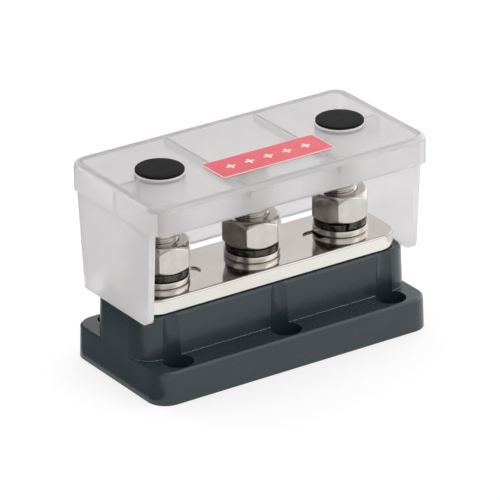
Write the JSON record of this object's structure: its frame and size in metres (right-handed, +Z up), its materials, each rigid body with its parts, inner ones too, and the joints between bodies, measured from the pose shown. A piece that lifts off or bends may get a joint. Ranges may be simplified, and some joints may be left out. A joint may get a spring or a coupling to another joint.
{
  "type": "bus bar",
  "caption": "Heavy current bus bar: a plated bar with threaded studs and nuts on a moulded insulating base, under a frosted lift-off cover open at the front.",
  "frame": {"origin": "middle of the base's underside", "axes": "+X along the bar to the right, +Y to the back, +Z up along the studs"},
  "size_m": [0.095, 0.0466, 0.0622],
  "materials": {
    "base_plastic": "satin moulded",
    "tin_plate": "bright tin plate over copper",
    "stainless": "turned stainless",
    "spring_steel": "dark spring steel",
    "frosted_plastic": "frosted clear",
    "cap_plastic": "matt black",
    "label_film": "printed film"
  },
  "bodies": {
    "base": {"base": "base_plastic", "bus_bar": "tin_plate", "stud_left": "stainless", "stud_middle": "stainless", "stud_right": "stainless", "flat_washer_left": "stainless", "flat_washer_middle": "stainless", "flat_washer_right": "stainless"},
    "spring_washer_left": {"spring_washer_left": "spring_steel"},
    "nut_left": {"nut_left": "stainless"},
    "spring_washer_middle": {"spring_washer_middle": "spring_steel"},
    "nut_middle": {"nut_middle": "stainless"},
    "spring_washer_right": {"spring_washer_right": "spring_steel"},
    "nut_right": {"nut_right": "stainless"},
    "cover": {"cover": "frosted_plastic", "cap_left": "cap_plastic", "cap_right": "cap_plastic", "label": "label_film"}
  },
  "joints": [
    {"name": "nut_left_rise", "type": "slide", "parent": "base", "child": "spring_washer_left", "axis": [0, 0, 1], "range_m": [0, 0.0105]},
    {"name": "nut_left_turn", "type": "hinge", "parent": "spring_washer_left", "child": "nut_left", "pos_m": [-0.031, 0, 0.0318], "axis": [0, 0, 1], "range_deg": [0, 2520]},
    {"name": "nut_middle_rise", "type": "slide", "parent": "base", "child": "spring_washer_middle", "axis": [0, 0, 1], "range_m": [0, 0.0105]},
    {"name": "nut_middle_turn", "type": "hinge", "parent": "spring_washer_middle", "child": "nut_middle", "pos_m": [0, 0, 0.0318], "axis": [0, 0, 1], "range_deg": [0, 2520]},
    {"name": "nut_right_rise", "type": "slide", "parent": "base", "child": "spring_washer_right", "axis": [0, 0, 1], "range_m": [0, 0.0105]},
    {"name": "nut_right_turn", "type": "hinge", "parent": "spring_washer_right", "child": "nut_right", "pos_m": [0.031, 0, 0.0318], "axis": [0, 0, 1], "range_deg": [0, 2520]},
    {"name": "cover_lift", "type": "slide", "parent": "base", "child": "cover", "axis": [0, 0, 1], "range_m": [0, 0.045]}
  ],
  "couplings": [
    {"joint": "nut_left_turn", "follows": "nut_left_rise", "rad_per_m": 4188.8},
    {"joint": "nut_middle_turn", "follows": "nut_middle_rise", "rad_per_m": 4188.8},
    {"joint": "nut_right_turn", "follows": "nut_right_rise", "rad_per_m": 4188.8}
  ]
}
